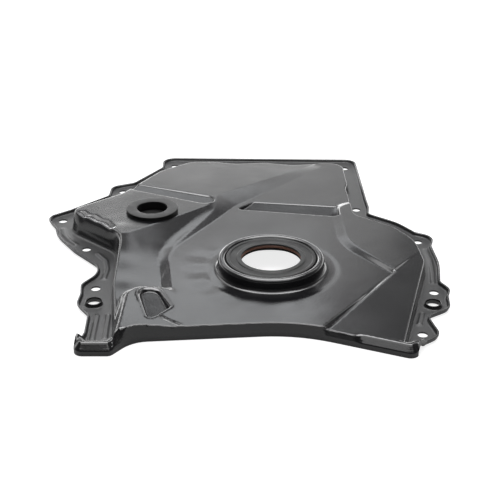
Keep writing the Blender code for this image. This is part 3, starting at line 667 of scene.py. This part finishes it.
def rounded(corners, steps=5):
    """A section of (radius, height, fillet) with its corners rounded."""
    out = []
    for k, (r, z, fillet) in enumerate(corners):
        here = Vector((r, z))
        before = (Vector(corners[k - 1][:2]) - here).normalized() * fillet
        after = (Vector(corners[(k + 1) % len(corners)][:2]) - here).normalized() * fillet
        for n in range(steps + 1):
            t = n / steps
            spot = here + before * (1 - t) ** 2 + after * t ** 2
            out.append((spot.x, spot.y))
    return out


def sweep_nodes():
    """Geometry Nodes group: carries a closed section round a circle and gives it its material."""
    group = bpy.data.node_groups.new("section_round_a_circle", "GeometryNodeTree")
    for label, kind in (("Section", "NodeSocketGeometry"), ("Radius", "NodeSocketFloat"),
                        ("Steps", "NodeSocketInt"), ("Material", "NodeSocketMaterial")):
        group.interface.new_socket(label, in_out="INPUT", socket_type=kind)
    group.interface.new_socket("Ring", in_out="OUTPUT", socket_type="NodeSocketGeometry")
    given = add(group, "NodeGroupInput")
    section = add(group, "GeometryNodeMeshToCurve", (), {"Mesh": given.outputs["Section"]})
    path = add(group, "GeometryNodeCurvePrimitiveCircle", (),
               {"Resolution": given.outputs["Steps"], "Radius": given.outputs["Radius"]})
    skin = add(group, "GeometryNodeCurveToMesh", (),
               {"Curve": path.outputs["Curve"], "Profile Curve": section.outputs["Curve"]})
    real = add(group, "GeometryNodeRealizeInstances", (), {"Geometry": skin.outputs["Mesh"]})
    paint = add(group, "GeometryNodeSetMaterial", (),
                {"Geometry": real.outputs["Geometry"], "Material": given.outputs["Material"]})
    add(group, "NodeGroupOutput", (), {"Ring": paint.outputs["Geometry"]})
    return group


ring_sweep = sweep_nodes()


def swept(name, section, radius, material):
    """A section of (radius, height) points carried round the crankshaft axis."""
    line = bpy.data.meshes.new(name + "_section")
    count = len(section)
    line.from_pydata([((r - radius) * MM, -z * MM, 0.0) for r, z in section],
                     [(k, (k + 1) % count) for k in range(count)], [])
    made = bpy.data.objects.new(name, line)
    bpy.context.scene.collection.objects.link(made)
    carry = made.modifiers.new("sweep", "NODES")
    carry.node_group = ring_sweep
    sockets = ring_sweep.interface.items_tree
    given = {item.name: item.identifier for item in sockets if item.in_out == "INPUT"}
    carry[given["Radius"]] = radius * MM
    carry[given["Steps"]] = ROUND_STEPS
    carry[given["Material"]] = material
    data = bpy.data.meshes.new_from_object(made.evaluated_get(bpy.context.evaluated_depsgraph_get()))
    made.modifiers.remove(carry)
    made.data = data
    data.name = name
    data.transform(Matrix.Translation((AXIS[0] * MM, AXIS[1] * MM, 0.0)))
    mesh = bmesh.new()
    mesh.from_mesh(data)
    bmesh.ops.remove_doubles(mesh, verts=mesh.verts, dist=0.000001)
    bmesh.ops.recalc_face_normals(mesh, faces=mesh.faces)
    mesh.to_mesh(data)
    mesh.free()
    data.shade_smooth()
    data.set_sharp_from_angle(angle=math.radians(40))
    return made


# Moulded rubber: satin black with a fine mould texture, which gives broad soft gleams.
rubber, tree, shader = new_material("moulded_seal_rubber")
place = add(tree, "ShaderNodeTexCoord").outputs["Object"]
texture = add(tree, "ShaderNodeTexNoise", {"Scale": 900.0, "Detail": 3.0}, {"Vector": place})
patch = add(tree, "ShaderNodeTexNoise", {"Scale": 90.0, "Detail": 2.0}, {"Vector": place})
rough = add(tree, "ShaderNodeMapRange", {"From Min": 0.3, "From Max": 0.7, "To Min": 0.34, "To Max": 0.5},
            {"Value": patch.outputs["Fac"]})
tree.links.new(rough.outputs["Result"], shader.inputs["Roughness"])
bump = add(tree, "ShaderNodeBump", {"Strength": 0.25, "Distance": 0.00015},
           {"Height": texture.outputs["Fac"]})
tree.links.new(bump.outputs["Normal"], shader.inputs["Normal"])
shader.inputs["Base Color"].default_value = colour("0d0d0d")
shader.inputs["IOR"].default_value = 1.42
shader.inputs["Specular IOR Level"].default_value = 0.28

seal = swept("crank_seal", rounded(SEAL_SECTION), SEAL_MIDDLE, rubber)
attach(seal, "root")
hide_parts("crank_seal_ring")


# Lip of the seal: a thin ring of filled low-friction plastic that wipes the shaft, turned and
# held in the groove of the rubber.
LIP_MIDDLE = 22.3
LIP_SECTION = [
    (23.2, 17.6, 0.2), (23.2, 15.4, 0.1), (22.2, 15.4, 0.1), (21.5, 16.0, 0.2),
    (21.5, 16.8, 0.2), (22.1, 17.6, 0.2),
]

# Filled plastic: matt red-brown, with small lighter and darker flecks.
lip_plastic, tree, shader = new_material("filled_ptfe_lip")
place = add(tree, "ShaderNodeTexCoord").outputs["Object"]
fleck = add(tree, "ShaderNodeTexNoise", {"Scale": 700.0, "Detail": 2.0}, {"Vector": place})
flecked = add(tree, "ShaderNodeMix", {6: colour("5c3a2c"), 7: colour("7d5542")},
              {0: fleck.outputs["Fac"]}, data_type="RGBA")
tree.links.new(flecked.outputs[2], shader.inputs["Base Color"])
shader.inputs["Roughness"].default_value = 0.42
shader.inputs["IOR"].default_value = 1.38

lip = swept("crank_seal_wiper", rounded(LIP_SECTION), LIP_MIDDLE, lip_plastic)
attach(lip, "root")
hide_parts("crank_seal_lip")


# Sealing plug: a rubber-coated cup pushed through the plateau from outside, its flange resting
# on the sheet and its round recess open upwards.
# The section is (radius, height, fillet), from the recess over the flange to the lower end.
PLUG_RECESS = -2.9
PLUG_UNDER_FLANGE = 0.3
PLUG_END = -6.1
PLUG_STEPS = 96
PLUG_SECTION = [
    (12.0, PLUG_RECESS, 0.7), (12.0, 3.8, 0.7), (20.5, 3.8, 0.7), (20.5, PLUG_UNDER_FLANGE, 0.3),
    (16.7, PLUG_UNDER_FLANGE, 0.2), (16.7, PLUG_END, 0.6),
]


def turned(name, line, centre, count, material):
    """A line of (radius, height) points that starts and ends on the axis, turned about a centre."""
    mesh = bmesh.new()
    columns = []
    for k in range(count):
        a = 2 * math.pi * k / count
        columns.append([mesh.verts.new((r * math.cos(a), r * math.sin(a), z)) for r, z in line])
    for k in range(count):
        here, there = columns[k], columns[(k + 1) % count]
        for j in range(len(line) - 1):
            mesh.faces.new((here[j], there[j], there[j + 1], here[j + 1]))
    bmesh.ops.remove_doubles(mesh, verts=mesh.verts, dist=0.001)
    bmesh.ops.dissolve_degenerate(mesh, edges=mesh.edges, dist=0.001)
    bmesh.ops.recalc_face_normals(mesh, faces=mesh.faces)
    for v in mesh.verts:
        v.co = ((v.co.x + centre[0] + AXIS[0]) * MM, (v.co.y + centre[1] + AXIS[1]) * MM,
                (v.co.z + centre[2]) * MM)
    data = bpy.data.meshes.new(name)
    mesh.to_mesh(data)
    mesh.free()
    made = bpy.data.objects.new(name, data)
    bpy.context.scene.collection.objects.link(made)
    data.materials.append(material)
    data.shade_smooth()
    data.set_sharp_from_angle(angle=math.radians(40))
    return made


plug_level = float(plateau_level(np.array(PLUG_PLACE))) - PLUG_UNDER_FLANGE
plug = turned("sealing_plug_cup", [(0.0, PLUG_RECESS)] + rounded(PLUG_SECTION) + [(0.0, PLUG_END)],
              (*PLUG_PLACE, plug_level), PLUG_STEPS, rubber)
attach(plug, "root")
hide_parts("sealing_plug")


# Pale floor under the cover. For the camera and for reflections it is lifted to white, and the
# cover's own soft shadow still shows on it. Its size and level are in metres.
FLOOR_SIZE = 24.0
FLOOR_LEVEL = -0.0002
WHITE = (1.0, 1.0, 1.0, 1.0)
floor_paint, tree, shader = new_material("pale_floor")
shader.inputs["Base Color"].default_value = colour("b4b4b4")
shader.inputs["Roughness"].default_value = 0.9
shader.inputs["Specular IOR Level"].default_value = 0.0
rays = add(tree, "ShaderNodeLightPath")
shine = add(tree, "ShaderNodeMath", {1: 0.4}, {0: rays.outputs["Is Glossy Ray"]}, operation="MULTIPLY")
raised = add(tree, "ShaderNodeMath", {1: 0.8}, {0: rays.outputs["Is Camera Ray"], 2: shine.outputs[0]},
             operation="MULTIPLY_ADD")
tree.links.new(raised.outputs[0], shader.inputs["Emission Strength"])
shader.inputs["Emission Color"].default_value = WHITE
bpy.ops.mesh.primitive_plane_add(size=FLOOR_SIZE, location=(0.0, 0.0, FLOOR_LEVEL))
floor = bpy.context.object
floor.name = "floor"
floor.data.materials.append(floor_paint)


# Studio walls: white for the camera and for transmitted rays, and plain grey light on the object.
# Glossy rays meet a dim room that is brighter behind the cover and has a bright strip low down.
world = bpy.data.worlds.new("studio")
bpy.context.scene.world = world
world.use_nodes = True
tree = world.node_tree
tree.nodes.clear()
rays = add(tree, "ShaderNodeLightPath")
seen = add(tree, "ShaderNodeMath", (),
           {0: rays.outputs["Is Camera Ray"], 1: rays.outputs["Is Transmission Ray"]}, operation="MAXIMUM")
dim = add(tree, "ShaderNodeBackground", {"Color": WHITE, "Strength": 0.35})
aim = add(tree, "ShaderNodeTexCoord")
split = add(tree, "ShaderNodeSeparateXYZ", (), {0: aim.outputs["Generated"]})
depth = add(tree, "ShaderNodeMapRange", {"From Min": -0.1, "From Max": 0.7, "To Min": 0.14, "To Max": 0.42},
            {"Value": split.outputs["Y"]})
low_strip = add(tree, "ShaderNodeMapRange", {"From Min": 0.28, "From Max": 0.12, "To Max": 1.0},
                {"Value": split.outputs["Z"]})
behind = add(tree, "ShaderNodeMapRange", {"From Min": 0.2, "From Max": 0.7, "To Max": 3.0},
             {"Value": split.outputs["Y"]})
glow = add(tree, "ShaderNodeMath", (), {0: low_strip.outputs[0], 1: behind.outputs[0], 2: depth.outputs[0]},
           operation="MULTIPLY_ADD")
mirrored = add(tree, "ShaderNodeBackground", {"Color": WHITE}, {"Strength": glow.outputs[0]})
white = add(tree, "ShaderNodeBackground", {"Color": WHITE, "Strength": 1.0})
unseen = add(tree, "ShaderNodeMixShader", (),
             {0: rays.outputs["Is Glossy Ray"], 1: dim.outputs[0], 2: mirrored.outputs[0]})
walls = add(tree, "ShaderNodeMixShader", (), {0: seen.outputs[0], 1: unseen.outputs[0], 2: white.outputs[0]})
add(tree, "ShaderNodeOutputWorld", (), {"Surface": walls.outputs[0]})


# Softboxes: the black coat shows mostly what it mirrors, so most boxes stand where one field of
# the cover mirrors them. Places are in metres. A sheen shows in reflections only.
COOL = (0.95, 0.975, 1.0)


def softbox(name, place, target, size, power):
    light = bpy.data.lights.new(name, "AREA")
    light.shape = "RECTANGLE"
    light.size, light.size_y = size
    light.energy = power
    made = bpy.data.objects.new(name, light)
    made.location = place
    made.rotation_euler = (Vector(target) - Vector(place)).to_track_quat("-Z", "Y").to_euler()
    bpy.context.scene.collection.objects.link(made)
    return made


# Behind, low: mirrored by the level fields and the flange.
softbox("back_box", (-0.015, 1.25, 0.375), (-0.015, 0.0, 0.375), (0.63, 0.75), 1.05)
# Behind, high: mirrored by the plateau.
plateau_box = softbox("back_box_high", (-0.10, 1.25, 0.86), (-0.10, 0.0, 0.86), (0.54, 0.42), 1.7)
plateau_box.data.color = COOL
# Behind, higher still: mirrored by the big slope.
slope_box = softbox("slope_fill", (0.12, 1.1, 1.07), (0.12, 0.0, 1.07), (0.28, 0.18), 0.35)
slope_box.data.color = COOL
# Above: the main light, with a wide sheen on what faces up.
softbox("top_box", (0.0, 0.26, 1.25), (0.0, 0.26, 0.0), (1.1, 0.92), 14.0)
over_sheen = softbox("overhead_sheen", (0.0, 0.05, 1.3), (0.0, 0.05, 0.0), (1.5, 1.1), 40.0)
over_sheen.visible_diffuse = False
# In front: a sheen on the walls and edges that face the camera.
front_sheen = softbox("front_sheen", (0.0, -0.9, 1.3), (0.0, -0.9, 0.0), (2.0, 0.8), 14.0)
front_sheen.visible_diffuse = False
# At the sides: mirrored by the walls and round edges that lean to them.
softbox("left_box", (-0.75, 0.9, 1.05), (0.0, 0.0, 0.0), (0.6, 0.8), 4.5)
softbox("left_low", (-0.34, 1.15, 0.22), (-0.1, 0.0, 0.05), (0.24, 0.2), 0.5)
softbox("right_box", (0.9, 0.9, 1.1), (0.0, 0.0, 0.0), (0.5, 0.5), 2.4)


# Camera at the photograph's angle, 25.9 degrees down. Its place is in millimetres from the
# crankshaft axis and above the block face.
CAMERA_PLACE = (-15.1, -644.0, 337.1)
CAMERA_DOWN = 25.9
view = bpy.data.cameras.new("photo_camera")
view.lens = 72.0
view.sensor_width = 36.0
camera = bpy.data.objects.new("photo_camera", view)
camera.location = ((CAMERA_PLACE[0] + AXIS[0]) * MM, (CAMERA_PLACE[1] + AXIS[1]) * MM, CAMERA_PLACE[2] * MM)
camera.rotation_euler = (math.radians(90.0 - CAMERA_DOWN), 0.0, 0.0)
bpy.context.scene.collection.objects.link(camera)
bpy.context.scene.camera = camera
bpy.context.scene.view_settings.view_transform = "Standard"
